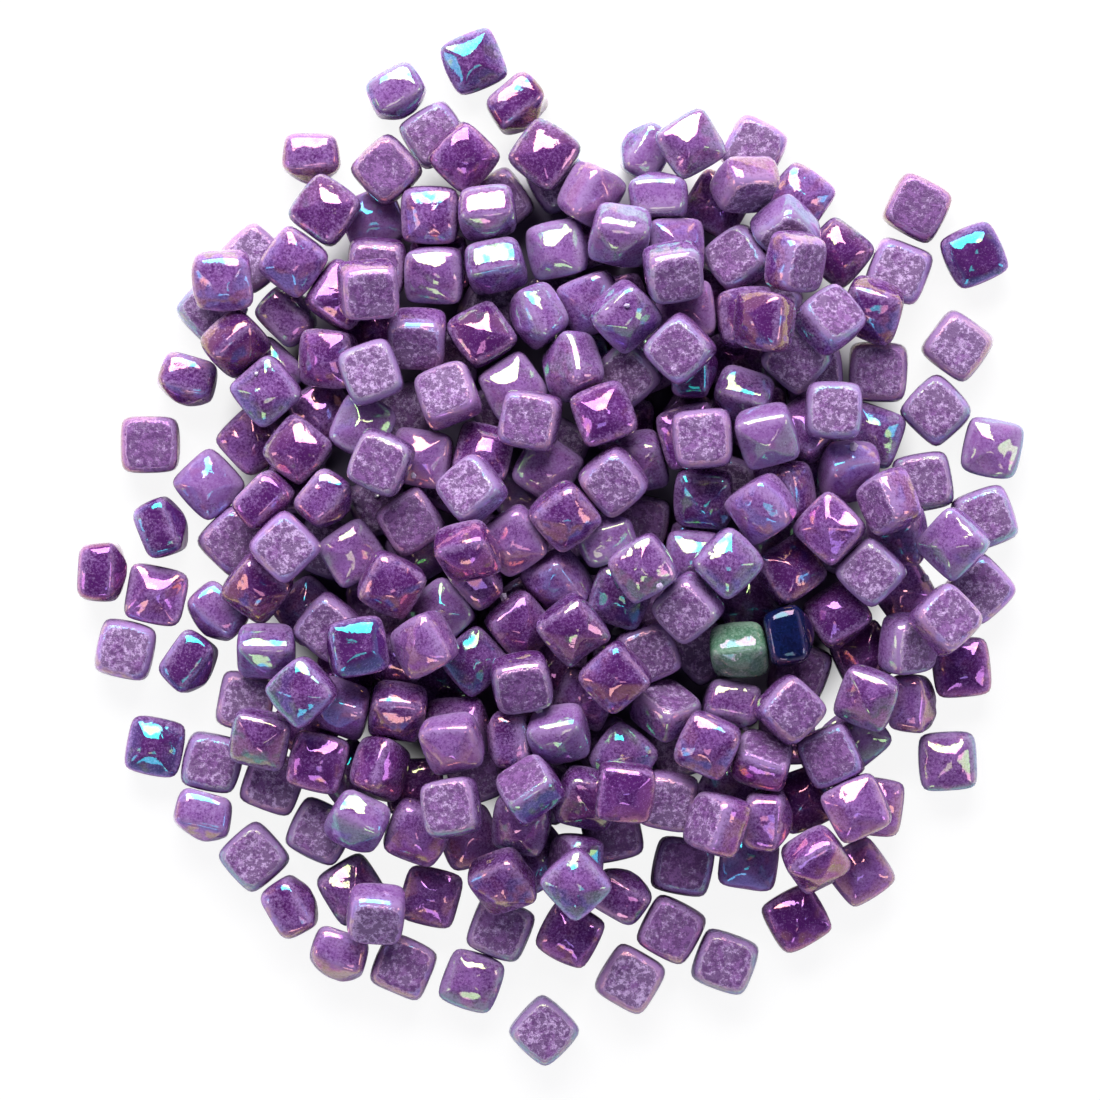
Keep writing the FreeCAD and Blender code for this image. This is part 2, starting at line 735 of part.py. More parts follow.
def hidden_rows(pitch, width):
    """Places on a loose grid, under the upper tiles, where no floor tile shows."""
    chance = random.Random(HIDDEN_SEED)
    floor = [row[:2] for row in FLOOR_TILES + LOOSE_TILES]
    upper = [row[:2] for row in SECOND_TILES + TOP_TILES]
    rows = []
    for j in range(-HIDDEN_REACH, HIDDEN_REACH + 1):
        for i in range(-HIDDEN_REACH, HIDDEN_REACH + 1):
            x = (i + 0.5 * (j % 2)) * pitch + chance.uniform(-1, 1) * HIDDEN_SHIFT * pitch
            y = j * pitch * math.sqrt(3) / 2 + chance.uniform(-1, 1) * HIDDEN_SHIFT * pitch
            lean = chance.choice((0, 180))
            bearing = chance.uniform(0, 90)
            covered = any(math.dist((x, y), place) < HIDDEN_COVER * width for place in upper)
            clear = all(math.dist((x, y), place) > HIDDEN_ROOM * width for place in floor)
            if clear and covered:
                rows.append((x, y, lean, bearing, 0))
    return rows


def placed(shape, tile):
    """Copy of the tile's solid at its place in the heap."""
    copy = shape.copy()
    corner = tile.middle - tile.turn.multVec(tile.form.middle)
    copy.Placement = FreeCAD.Placement(corner, tile.turn)
    return copy


def quarter(tile):
    """Name of the quarter of the heap in which a tile lies."""
    depth = "back" if tile.middle.y > 0 else "front"
    side = "right" if tile.middle.x > 0 else "left"
    return "%s_%s" % (depth, side)


def lay_heap(form, sheet):
    """Lay every tile from the floor up and return them by node name."""
    heap = Heap(form, sheet.contact_gap, sheet.tile_width / sheet.spread_pitch)
    floor = heap.keep(heap.lay_floor(LOOSE_TILES + FLOOR_TILES))
    hidden = heap.keep(heap.lay_hidden(hidden_rows(sheet.hidden_pitch, sheet.spread_pitch)))
    deep = heap.read(DEEP_TILES, DEEP_HEIGHT, DEEP_HOLD)
    odd = heap.read((GREEN_TILE, BLUE_TILE), SECOND_HEIGHT)
    second = heap.read(SECOND_TILES, SECOND_HEIGHT)
    top = heap.read(TOP_TILES, TOP_HEIGHT)
    heap.settle(deep + odd + second + top)

    loose = len(LOOSE_TILES)
    nodes = {"loose_tiles": floor[:loose], "green_tile": odd[:1], "blue_tile": odd[1:]}
    courses = {"floor_tiles": floor[loose:], "hidden_tiles": hidden, "deep_tiles": deep,
               "middle_tiles": second, "top_tiles": top}
    for course, tiles in courses.items():
        for tile in tiles:
            nodes.setdefault("%s_%s" % (course, quarter(tile)), []).append(tile)
    return nodes


def add_nodes(doc, shape, nodes):
    """Make one sub-part of each group of tiles, centred over the origin."""
    groups = {
        name: Part.makeCompound([placed(shape, tile) for tile in tiles])
        for name, tiles in nodes.items()
    }
    box = FreeCAD.BoundBox()
    for group in groups.values():
        box.add(group.BoundBox)
    centring = FreeCAD.Placement(Vector(-box.Center.x, -box.Center.y, -box.ZMin), Rotation())
    parts = []
    for name, group in sorted(groups.items()):
        part = doc.addObject("Part::Feature", name)
        part.Label = name
        part.Shape = group
        part.Placement = centring
        parts.append(part)
    doc.recompute()
    return parts


def check(doc, parts):
    """Stop if an object failed or a sub-part has no valid shape."""
    for item in doc.Objects:
        if "Invalid" in item.State or "Error" in item.State:
            raise RuntimeError("%s failed: %s" % (item.Name, item.State))
    for part in parts:
        if part.Shape.isNull() or not part.Shape.isValid():
            raise RuntimeError("%s has no valid shape" % part.Label)


def main():
    """Model the tile, lay the heap and write each sub-part."""
    doc = FreeCAD.newDocument("glass_tile_heap")
    sheet = make_sheet(doc)
    tile = make_tile(doc, sheet)
    parts = add_nodes(doc, tile.Shape, lay_heap(TileForm(tile.Shape, sheet), sheet))
    check(doc, parts + [tile])
    os.makedirs("parts", exist_ok=True)
    for part in parts:
        part.Shape.exportStep(os.path.join("parts", part.Label + ".step"))
    print("tile volume %.2f" % tile.Shape.Volume)
    for part in parts:
        box = part.Shape.BoundBox
        print("%-28s %3d tiles, top %.2f" % (part.Label, len(part.Shape.Solids), box.ZMax))


main()
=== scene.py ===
"""Looks of a heap of loose pressed-glass mosaic tiles with a pearl lustre.

Each tile of the CAD model gives its place and turn to a smooth glass tile of
the same size, with rounded corners, a low front of four facets and a flat
grainy back. The tiles of one CAD node make one piece. The scene is in metres,
and the forms are written in millimetres.
"""

import logging
from dataclasses import dataclass, field
from enum import Enum
from typing import Optional, Union

import bmesh
import bpy
import numpy as np
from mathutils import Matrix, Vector


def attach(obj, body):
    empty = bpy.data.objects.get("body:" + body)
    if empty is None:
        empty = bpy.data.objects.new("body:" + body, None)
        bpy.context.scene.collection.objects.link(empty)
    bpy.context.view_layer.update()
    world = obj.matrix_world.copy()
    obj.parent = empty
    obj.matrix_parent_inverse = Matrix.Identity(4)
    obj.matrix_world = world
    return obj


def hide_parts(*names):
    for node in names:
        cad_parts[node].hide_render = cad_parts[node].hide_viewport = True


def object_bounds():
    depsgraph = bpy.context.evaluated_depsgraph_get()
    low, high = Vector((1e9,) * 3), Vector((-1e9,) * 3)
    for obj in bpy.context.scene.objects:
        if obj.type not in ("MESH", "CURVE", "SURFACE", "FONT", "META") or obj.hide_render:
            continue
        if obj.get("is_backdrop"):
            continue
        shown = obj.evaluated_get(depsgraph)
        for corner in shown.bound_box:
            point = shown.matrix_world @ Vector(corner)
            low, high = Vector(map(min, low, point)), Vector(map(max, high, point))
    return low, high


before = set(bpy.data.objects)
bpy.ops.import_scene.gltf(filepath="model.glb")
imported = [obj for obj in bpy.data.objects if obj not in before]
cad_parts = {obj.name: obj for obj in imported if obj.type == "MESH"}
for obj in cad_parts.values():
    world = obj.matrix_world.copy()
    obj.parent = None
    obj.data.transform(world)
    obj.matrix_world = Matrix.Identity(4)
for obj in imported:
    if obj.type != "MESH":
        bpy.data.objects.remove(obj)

LOG = logging.getLogger("tile_heap")
MM = 0.001
CRUMB_SEED = 3

Colour = tuple[float, float, float]
Value = Union["Signal", float, int, tuple]


class Lustre(Enum):
    """Pairs of film thickness, in nanometres, between which a tile's lustre drifts."""

    LILAC_TO_AQUA = (274.0, 332.0)
    ROSE_TO_GOLD = (422.0, 388.0)
    VIOLET_TO_ROSE = (300.0, 272.0)
    AQUA_TO_GOLD = (338.0, 384.0)


class Pattern(Enum):
    """Noises of the glass: a lump's size in millimetres, detail, roughness, and shift in metres."""

    CLOUD = (3.2, 2.0, 0.55, 0.0)
    WISP = (0.9, 2.0, 0.6, 0.013)
    GRIT = (0.34, 2.0, 0.75, 0.031)
    PATCH = (2.1, 2.0, 0.6, 0.047)
    STREAK = (1.1, 3.0, 0.7, 0.057)
    SPECK = (0.21, 2.0, 0.5, 0.11)
    PIT = (0.8, 3.0, 0.85, 0.07)
    SWELL = (2.4, 1.0, 0.45, 0.021)
    DRIFT = (1.9, 1.0, 0.5, 0.09)


@dataclass(frozen=True)
class GlassFinish:
    """Colours and gloss of one glass, all of it pressed and lustred alike."""

    name: str
    slot: str
    body: Colour
    deep: Colour
    # Colour of milky streaks, and of the painted rim light along the rims.
    haze_and_rim_light: Colour
    frost: Colour
    # Colour of chalky specks and dust, also used for the painted highlight line along the lip.
    chalk_and_highlight: Colour
    film: float
    gloss: float = 0.03
    grain: float = 0.62


PURPLE = GlassFinish("purple", "purple_glass", body=(0.204, 0.085, 0.286), deep=(0.060, 0.010, 0.090),
                     haze_and_rim_light=(0.328, 0.206, 0.424), frost=(0.170, 0.065, 0.226), chalk_and_highlight=(0.44, 0.31, 0.53), film=1.84)
GREEN = GlassFinish("green", "green_glass", body=(0.150, 0.262, 0.190), deep=(0.045, 0.125, 0.072),
                    haze_and_rim_light=(0.270, 0.390, 0.310), frost=(0.220, 0.330, 0.250), chalk_and_highlight=(0.45, 0.52, 0.46), film=1.62)
BLUE = GlassFinish("blue", "blue_glass", body=(0.003, 0.006, 0.038), deep=(0.001, 0.002, 0.012),
                   haze_and_rim_light=(0.005, 0.010, 0.060), frost=(0.02, 0.03, 0.12), chalk_and_highlight=(0.02, 0.03, 0.10), film=1.60)
CRUMB = GlassFinish("crumb", "purple_glass", body=(0.62, 0.56, 0.68), deep=(0.40, 0.32, 0.48),
                    haze_and_rim_light=(0.75, 0.72, 0.80), frost=(0.5, 0.4, 0.6), chalk_and_highlight=(0.8, 0.8, 0.8), film=1.55)


class Signal:
    """A socket of a shader, wrapped so that sums and products make its Math nodes."""

    def __init__(self, graph: "Graph", socket: Optional[bpy.types.NodeSocket]) -> None:
        """Keep the graph that new nodes go to, and the socket."""
        self.graph = graph
        self.socket = socket

    def _with(self, operation: str, first: Value, second: Value) -> "Signal":
        """One Math node of two values."""
        return self.graph.node("ShaderNodeMath", {"operation": operation}, {0: first, 1: second})

    def __add__(self, other: Value) -> "Signal":
        """This plus another."""
        return self._with("ADD", self, other)

    __radd__ = __add__

    def __sub__(self, other: Value) -> "Signal":
        """This less another."""
        return self._with("SUBTRACT", self, other)

    def __rsub__(self, other: Value) -> "Signal":
        """Another less this."""
        return self._with("SUBTRACT", other, self)

    def __mul__(self, other: Value) -> "Signal":
        """This times another."""
        return self._with("MULTIPLY", self, other)

    __rmul__ = __mul__

    def __abs__(self) -> "Signal":
        """This without its sign."""
        return self.graph.node("ShaderNodeMath", {"operation": "ABSOLUTE"}, {0: self})

    def step(self, low: float, high: float) -> "Signal":
        """Smooth step from 0 at low to 1 at high."""
        settings = {"interpolation_type": "SMOOTHSTEP"}
        return self.graph.node("ShaderNodeMapRange", settings, {"Value": self, 1: low, 2: high})


class Graph:
    """The node tree of one material or world, filled from Python expressions."""

    def __init__(self, owner: Union[bpy.types.Material, bpy.types.World]) -> None:
        """Empty the node tree of a material or world.

        Args:
            owner: the material or world.
        """
        owner.use_nodes = True
        self.owner = owner
        self.tree = owner.node_tree
        self.tree.nodes.clear()

    def node(self, kind: str, settings: dict, inputs: dict, output: Union[int, str] = 0) -> Signal:
        """Make a node and wrap one of its outputs.

        Args:
            kind: the node's type.
            settings: its own properties, and "stops" for a ramp's colours.
            inputs: a value or Signal for each socket, by name or number.
            output: the output that is wrapped.

        Returns:
            The wrapped output, empty for a node that has none.
        """
        made = self.tree.nodes.new(kind)
        for name, value in settings.items():
            if name == "stops":
                self._set_stops(made.color_ramp, value)
            else:
                setattr(made, name, value)
        for key, value in inputs.items():
            if isinstance(value, Signal):
                self.tree.links.new(value.socket, made.inputs[key])
            else:
                made.inputs[key].default_value = value
        return Signal(self, made.outputs[output] if made.outputs else None)

    @staticmethod
    def _set_stops(ramp: bpy.types.ColorRamp, stops: tuple) -> None:
        """Put stops into a ramp.

        Args:
            ramp: the ramp.
            stops: a position and a colour for each stop.
        """
        while len(ramp.elements) < len(stops):
            ramp.elements.new(0.5)
        for element, (position, colour) in zip(ramp.elements, stops):
            element.position = position
            element.color = (*colour, 1.0)

    def noise(self, pattern: Pattern) -> Signal:
        """One of the glass's noises, on Object coordinates.

        Args:
            pattern: the noise.

        Returns:
            Its value, about 0.5 on average.
        """
        size, detail, rough, shift = pattern.value
        place = self.node("ShaderNodeTexCoord", {}, {}, "Object")
        moved = self.node("ShaderNodeVectorMath", {"operation": "ADD"}, {0: place, 1: (shift, shift, shift)})
        inputs = {"Vector": moved, "Scale": 1 / (size * MM), "Detail": detail, "Roughness": rough}
        return self.node("ShaderNodeTexNoise", {}, inputs, "Fac")

    def attribute(self, name: str) -> Signal:
        """A number that the mesh carries for each point."""
        return self.node("ShaderNodeAttribute", {"attribute_name": name}, {}, "Fac")

    def mix(self, amount: Value, first: Value, second: Value) -> Signal:
        """Mix two colours.

        Args:
            amount: 0 for the first, 1 for the second.
            first: a colour or Signal.
            second: a colour or Signal.

        Returns:
            The mixed colour.
        """
        first = first if isinstance(first, Signal) else (*first, 1.0)
        second = second if isinstance(second, Signal) else (*second, 1.0)
        return self.node("ShaderNodeMix", {"data_type": "RGBA"}, {0: amount, 6: first, 7: second}, 2)

    def finish(self, shader: Signal, kind: str = "ShaderNodeOutputMaterial") -> bpy.types.ID:
        """Show a shader on the surface and give its owner back."""
        self.node(kind, {}, {"Surface": shader})
        return self.owner


class Glass:
    """One lustred glass: glossy front and sides, and a grainy frosted back."""

    def __init__(self, finish: GlassFinish, lustre: Lustre) -> None:
        """Start the graph with the signals that its parts share.

        The back's own number, broken up by noise, says where the grain starts,
        and the lip is a narrow raised band along that border, with a painted
        highlight line on it.

        Args:
            finish: the glass's colours and gloss.
            lustre: the pair of film thicknesses that it drifts between.
        """
        self.finish = finish
        self.lustre = lustre
        self.graph = Graph(bpy.data.materials.new(f"{finish.name}_{lustre.name.lower()}"))
        self.tone = self.graph.attribute("tone")
        self.wisp = self.graph.noise(Pattern.WISP)
        self.grit = self.graph.noise(Pattern.GRIT)
        self.patch = self.graph.noise(Pattern.PATCH)
        reach = self.graph.attribute("back") + (self.wisp - 0.5) * 0.7 + (self.grit - 0.5) * 0.5
        self.back = reach.step(0.40, 0.60)
        # The lip: a raised band, which also carries a painted highlight line.
        self.lip = 1.0 - abs(reach - 0.42).step(0.0, 0.16)

    def material(self) -> bpy.types.Material:
        """Lay two films over the clear glass, and the grainy glass over both on the back.

        Returns:
            The material.
        """
        mix = "ShaderNodeMixShader"
        normal = self._normal()
        body = self._body()
        first, second = (self._film(thickness, body, normal) for thickness in self.lustre.value)
        drift = (self.graph.noise(Pattern.DRIFT) + self.tone * 0.3 - 0.15).step(0.42, 0.58)
        glossy = self.graph.node(mix, {}, {0: drift, 1: first, 2: second})
        inputs = {"Base Color": self._dust(), "Roughness": self.finish.grain, "IOR": 1.45, "Normal": normal}
        grainy = self.graph.node("ShaderNodeBsdfPrincipled", {}, inputs)
        return self.graph.finish(self.graph.node(mix, {}, {0: self.back, 1: glossy, 2: grainy}))

    def _film(self, thickness: float, body: Signal, normal: Signal) -> Signal:
        """Glossy glass under a thin film.

        Args:
            thickness: the film's, in nanometres.
            body: the glass's colour.
            normal: its uneven surface.

        Returns:
            The shader.
        """
        inputs = {"Base Color": body, "Roughness": self.wisp * 0.06 + self.finish.gloss, "IOR": 1.5,
                  "Normal": normal, "Thin Film Thickness": thickness, "Thin Film IOR": self.finish.film}
        return self.graph.node("ShaderNodeBsdfPrincipled", {}, inputs)

    def _body(self) -> Signal:
        """Colour of the clear glass.

        Clouds part the deep colour from the body's. Milky streaks of the glass,
        and a painted rim light that makes the rounded rims lighter, mix in a pale
        colour. A chalky colour lies in small specks, and a painted highlight line
        runs along the lip.

        Returns:
            The colour.
        """
        graph, finish = self.graph, self.finish
        cloud = graph.noise(Pattern.CLOUD) * 0.9 + self.grit * 1.5 + self.tone * 0.7 - 1.05
        body = graph.mix(cloud.step(0.1, 0.9), finish.deep, finish.body)
        streak = graph.noise(Pattern.STREAK)
        # Painted rim light: the edge share makes the glass lighter along its rounded rims, mixed with its own milky
        # streaks.
        milk_and_rim_light = graph.attribute("edge") * 0.8 + streak * 0.7 + self.grit * 0.7 + self.tone * 0.2 - 0.37
        body = graph.mix(milk_and_rim_light.step(0.40, 0.95) * 0.75, body, finish.haze_and_rim_light)
        body = graph.mix(graph.noise(Pattern.SPECK).step(0.64, 0.75) * 0.5, body, finish.chalk_and_highlight)
        # Painted highlight: a light line painted along the lip in the pale chalky colour.
        return graph.mix(self.lip * 0.6, body, finish.chalk_and_highlight)

    def _dust(self) -> Signal:
        """Colour of the grainy back: chalky patches on the frost, with dark pits.

        Returns:
            The colour.
        """
        chalky = (self.grit + self.patch * 1.2 + self.wisp * 0.5 + self.tone * 0.30).step(1.32, 1.76)
        dusty = self.graph.mix(chalky, self.finish.frost, self.finish.chalk_and_highlight)
        pits = (self.graph.noise(Pattern.PIT) + self.patch * 0.4).step(0.60, 0.76)
        return self.graph.mix(pits * 0.8, dusty, self.finish.deep)

    def _normal(self) -> Signal:
        """Uneven surface: slow swells, fine wisps, the raised lip and the back's grain.

        Returns:
            The normal, from a height in millimetres.
        """
        height = self.graph.noise(Pattern.SWELL) * 0.15 + self.wisp * 0.022 + self.lip * 0.05
        height = height + self.back * self.grit * 0.13
        inputs = {"Height": height, "Distance": 1.0 * MM, "Strength": 1.0}
        return self.graph.node("ShaderNodeBump", {}, inputs, "Normal")


@dataclass(frozen=True)
class TileForm:
    """Cage of the tile, as rings from the back to the front, millimetres.

    Each ring is a rounded square with a height, the reach of its sides, the
    reach of its corner points, along x as along y, and the reach along a side
    at which the corner starts. The last four rings lie on the four facets. A
    point's share of the front is 0 at the bevel and 1 at the peak. A tile whose
    front came out soft has rings raised by domes, and corners drawn in by the
    first share in dull, and by the second too where the share of the front is
    over facets. Waves of about wave radians a millimetre push the points by
    sway, at the back by foot of that, and the front leans by lean. Each tile is
    scaled across, along x and along y, by a factor between widths.
    """

    heights: tuple = (0.05, 0.0, 0.42, 1.3, 3.6, 4.58, 4.92, 5.20, 6.06, 6.28)
    sides: tuple = (2.0, 2.75, 3.5, 3.84, 3.98, 3.84, 3.40, 2.9, 1.25, 0.5)
    corners: tuple = (1.85, 2.45, 3.12, 3.48, 3.64, 3.54, 3.22, 2.82, 1.22, 0.46)
    starts: tuple = (1.2, 1.7, 2.1, 2.3, 2.4, 2.4, 2.3, 2.1, 0.85, 0.3)
    domes: tuple = (0.0, 0.0, 0.0, 0.0, 0.0, 0.06, 0.16, 0.30, 0.12, 0.0)
    backs: tuple = (1.0, 0.70, 0.12, 0.0, 0.0, 0.0, 0.0, 0.0, 0.0, 0.0)
    # Share of the painted rim light, ring by ring.
    painted_rim_light: tuple = (0.0, 0.3, 0.7, 0.25, 0.0, 0.42, 0.35, 0.0, 0.0, 0.10)
    around: int = 16
    peak: float = 6.32
    dish: float = 0.14
    bevel: float = 1.2
    facets: float = 0.7
    dull: tuple = (0.03, 0.13)
    waves: int = 3
    wave: float = 0.75
    sway: float = 0.13
    ways: tuple = (0.8, 0.8, 1.0)
    foot: float = 0.3
    lean: float = 0.32
    widths: tuple = (0.965, 1.0)

    def _cage(self) -> np.ndarray:
        """Points of the plain cage.

        A quarter of a ring runs from the middle of a side by way of the corner
        to the next side, and four quarter turns of it close the ring. The
        middle of the back and the peak come last.

        Returns:
            Array of points by 3, millimetres over the tile's back.
        """
        side, corner, begin = (np.array(values) for values in (self.sides, self.corners, self.starts))
        flat = np.zeros_like(side)
        run = np.stack([np.stack([side, flat]), np.stack([side, begin]), np.stack([corner, corner]),
                        np.stack([begin, side])], 2)
        quarter = np.arange(4) * np.pi / 2
        turns = np.stack([np.cos(quarter), -np.sin(quarter), np.sin(quarter), np.cos(quarter)], 1).reshape(4, 2, 2)
        plan = np.einsum("qab,brp->rqpa", turns, run)
        height = np.broadcast_to(np.array(self.heights)[:, None, None, None], (*plan.shape[:3], 1))
        rings = np.concatenate([plan, height], 3).reshape(-1, 3)
        return np.concatenate([rings, [[0.0, 0.0, self.dish], [0.0, 0.0, self.peak]]])

    def points(self, chance: np.random.Generator, count: int) -> np.ndarray:
        """Cage points of several tiles, each a little different.

        Corners draw in by the share of the diagonal in a point's direction,
        2xy over its reach squared. Sines of the point's place along a wave
        push it, more so near the front, and it leans with the square of its
        share of the front.

        Args:
            chance: source of the differences.
            count: how many tiles.

        Returns:
            Array of count by points by 3, millimetres over the tile's back.
        """
        cage = self._cage()
        upper = np.clip((cage[:, 2] - self.bevel) / (self.peak - self.bevel), 0.0, 1.0)
        tiles = np.repeat(cage[None], count, 0)
        soft = chance.uniform(0.0, 1.0, (count, 1))
        tiles[:, :, 2] += soft * np.concatenate([np.repeat(self.domes, self.around), [0.0, 0.0]])
        reach = np.linalg.norm(cage[:, :2], axis=1) + 1e-9
        skew = np.abs(cage[:, 0] * cage[:, 1]) / reach ** 2 * 2
        dull = self.dull[0] + self.dull[1] * (upper > self.facets)
        tiles[:, :, :2] *= 1 - (soft * skew * dull)[:, :, None]
        loose = (self.foot + (1 - self.foot) * upper)[None, :, None]
        for _ in range(self.waves):
            wave = chance.normal(0.0, self.wave, (count, 3))
            phase = chance.uniform(0.0, 2 * np.pi, (count, 1))
            push = chance.normal(0.0, self.sway, (count, 1, 3)) * np.array(self.ways)
            tiles += np.sin(np.einsum("pi,ni->np", cage, wave) + phase)[:, :, None] * push * loose
        tiles[:, :, :2] += chance.normal(0.0, self.lean, (count, 1, 2)) * upper[None, :, None] ** 2
        tiles[:, :, :2] *= chance.uniform(*self.widths, (count, 1, 2))
        tiles[:, :, 2] = np.clip(tiles[:, :, 2], 0.0, self.peak)
        return tiles

    def faces(self) -> np.ndarray:
        """Corner numbers of one cage's four-sided faces, seen from outside.

        Walls join each ring to the next, and a fan of faces, each with two
        steps of the ring, closes the back and the front.

        Returns:
            Array of faces by 4.
        """
        rings, around = len(self.heights), self.around
        ring, step = np.meshgrid(np.arange(rings - 1), np.arange(around), indexing="ij")
        start = ring * around + step
        after = ring * around + (step + 1) % around
        walls = np.stack([start, after, after + around, start + around], 2).reshape(-1, 4)
        even = np.arange(around // 2) * 2
        middle, top = np.full(around // 2, rings * around), (rings - 1) * around
        back = np.stack([middle, (even + 2) % around, even + 1, even], 1)
        front = np.stack([middle + 1, top + even, top + even + 1, top + (even + 2) % around], 1)
        return np.concatenate([walls, back, front])

    def shares(self) -> dict:
        """How much each cage point belongs to the grainy back and to the painted rim light along an edge, from 0 to
        1.
        """
        return {"back": np.concatenate([np.repeat(self.backs, self.around), [1.0, 0.0]]),
                "edge": np.concatenate([np.repeat(self.painted_rim_light, self.around), [0.0, 0.1]])}


@dataclass(frozen=True)
class TileReader:
    """Finds the tiles in a CAD node's triangles.

    Faces of one flat side have normals whose cosine is over alike, and faces
    across an axis have a cosine under across with it.
    """

    alike: float = 0.9998
    across: float = 0.3

    def frames(self, node: bpy.types.Object) -> np.ndarray:
        """Place and turn of every tile in a CAD node.

        A tile's back is its largest flat side. The normal against it is the
        tile's z axis, and the largest flat side across that axis gives its x
        axis.

        Args:
            node: the CAD node's object.

        Returns:
            Array of tiles by 4 by 3: x, y and z axes, then the back's middle in
            millimetres.
        """
        places, triangles = self._triangles(node.data)
        corners = places[triangles]
        cross = np.cross(corners[:, 1] - corners[:, 0], corners[:, 2] - corners[:, 0])
        areas = np.linalg.norm(cross, axis=1) / 2
        normals = cross / np.maximum(2 * areas, 1e-12)[:, None]
        owner = self._labels(triangles, len(places))[triangles[:, 0]]
        frames = []
        for label in np.unique(owner):
            mine = owner == label
            normal, area, corner = normals[mine], areas[mine], corners[mine]
            alike = normal @ normal.T > self.alike
            flats = alike @ area
            back = int(np.argmax(flats))
            weights = area * alike[back]
            middle = (corner.mean(1) * weights[:, None]).sum(0) / weights.sum()
            up = -normal[back]
            side = normal[int(np.argmax(flats * (np.abs(normal @ up) < self.across)))]
            along = side - up * (side @ up)
            along /= np.linalg.norm(along)
            frames.append(np.stack([along, np.cross(up, along), up, middle]))
        return np.array(frames)

    @staticmethod
    def _triangles(mesh: bpy.types.Mesh) -> tuple[np.ndarray, np.ndarray]:
        """A copy of a mesh's triangles with equal points merged.

        Args:
            mesh: the mesh, which stays as it is.

        Returns:
            Points in millimetres, and the triangles' point numbers.
        """
        mesh.calc_loop_triangles()
        points = np.empty(len(mesh.vertices) * 3, np.float32)
        mesh.vertices.foreach_get("co", points)
        triangles = np.empty(len(mesh.loop_triangles) * 3, np.int32)
        mesh.loop_triangles.foreach_get("vertices", triangles)
        millimetres = points.reshape(-1, 3).astype(float) / MM
        places, merged = np.unique(np.round(millimetres, 3), axis=0, return_inverse=True)
        return places, merged.reshape(-1)[triangles].reshape(-1, 3)

    @staticmethod
    def _labels(triangles: np.ndarray, count: int) -> np.ndarray:
        """Number the points so that those of one tile share a number.

        Each round gives a triangle's points the least of their numbers, until
        nothing changes.

        Args:
            triangles: the triangles' point numbers.
            count: how many points.

        Returns:
            A number for each point.
        """
        labels = np.arange(count)
        while True:
            spread = labels.copy()
            np.minimum.at(spread, triangles.ravel(), np.repeat(labels[triangles].min(1), 3))
            if np.array_equal(spread, labels):
                return labels
            labels = spread


@dataclass
class TileGroup:
    """The glass tiles that stand for one CAD node."""

    node: str
    finish: GlassFinish
    smoothing: int = 1
    form: TileForm = field(default_factory=TileForm)
    reader: TileReader = field(default_factory=TileReader)

    def build(self, source: bpy.types.Object, seed: int, box: tuple, glasses: dict) -> bpy.types.Object:
        """Make the group's mesh and dress it.

        Args:
            source: the CAD node's object.
            seed: start of the random differences between tiles.
            box: lowest and highest corner of the CAD model.
            glasses: the materials by a finish's name and a lustre.

        Returns:
            The piece, which replaces the node.
        """
        chance = np.random.default_rng(seed)
        frames = self.reader.frames(source)
        count = len(frames)
        cages = self.form.points(chance, count)
        placed = np.einsum("nki,nij->nkj", cages, frames[:, :3]) + frames[:, None, 3]
        placed[:, :, 2] = np.maximum(placed[:, :, 2], 0.0)
        stride = cages.shape[1]
        faces = (self.form.faces()[None] + (np.arange(count) * stride)[:, None, None]).reshape(-1, 4)
        mesh = bpy.data.meshes.new(f"glass_{self.node}")
        mesh.from_pydata(placed.reshape(-1, 3) * MM, [], faces)
        mesh.polygons.foreach_set("use_smooth", np.ones(len(faces), bool))
        for name, share in self.form.shares().items():
            self._carry(mesh, name, np.tile(share, count))
        self._carry(mesh, "tone", np.repeat(chance.uniform(0.0, 1.0, count), stride))
        for lustre in Lustre:
            mesh.materials.append(glasses[self.finish.name, lustre])
        choice = np.repeat(chance.integers(0, len(Lustre), count), len(faces) // count)
        mesh.polygons.foreach_set("material_index", choice.astype(np.int32))
        piece = bpy.data.objects.new(mesh.name, mesh)
        bpy.context.scene.collection.objects.link(piece)
        self._smooth(piece, box)
        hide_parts(self.node)
        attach(piece, "root")
        return piece

    def _smooth(self, piece: bpy.types.Object, box: tuple) -> None:
        """Smooth a piece's mesh, and hold its points within the box of the CAD model.

        Args:
            piece: the piece, whose mesh is still the cages.
            box: lowest and highest corner of the CAD model.
        """
        smooth = piece.modifiers.new("smooth", "SUBSURF")
        smooth.levels = self.smoothing
        smooth.render_levels = self.smoothing
        mesh = bpy.data.meshes.new_from_object(piece.evaluated_get(bpy.context.evaluated_depsgraph_get()))
        mesh.name = piece.name
        piece.modifiers.clear()
        piece.data = mesh
        points = np.empty(len(mesh.vertices) * 3, np.float32)
        mesh.vertices.foreach_get("co", points)
        held = np.clip(points.reshape(-1, 3), np.array(box[0]), np.array(box[1]))
        mesh.vertices.foreach_set("co", held.ravel())
        mesh.update()

    @staticmethod
    def _carry(mesh: bpy.types.Mesh, name: str, values: np.ndarray) -> None:
        """Give each point of a mesh a number of its own."""
        layer = mesh.attributes.new(name, "FLOAT", "POINT")
        layer.data.foreach_set("value", values.astype(np.float32))


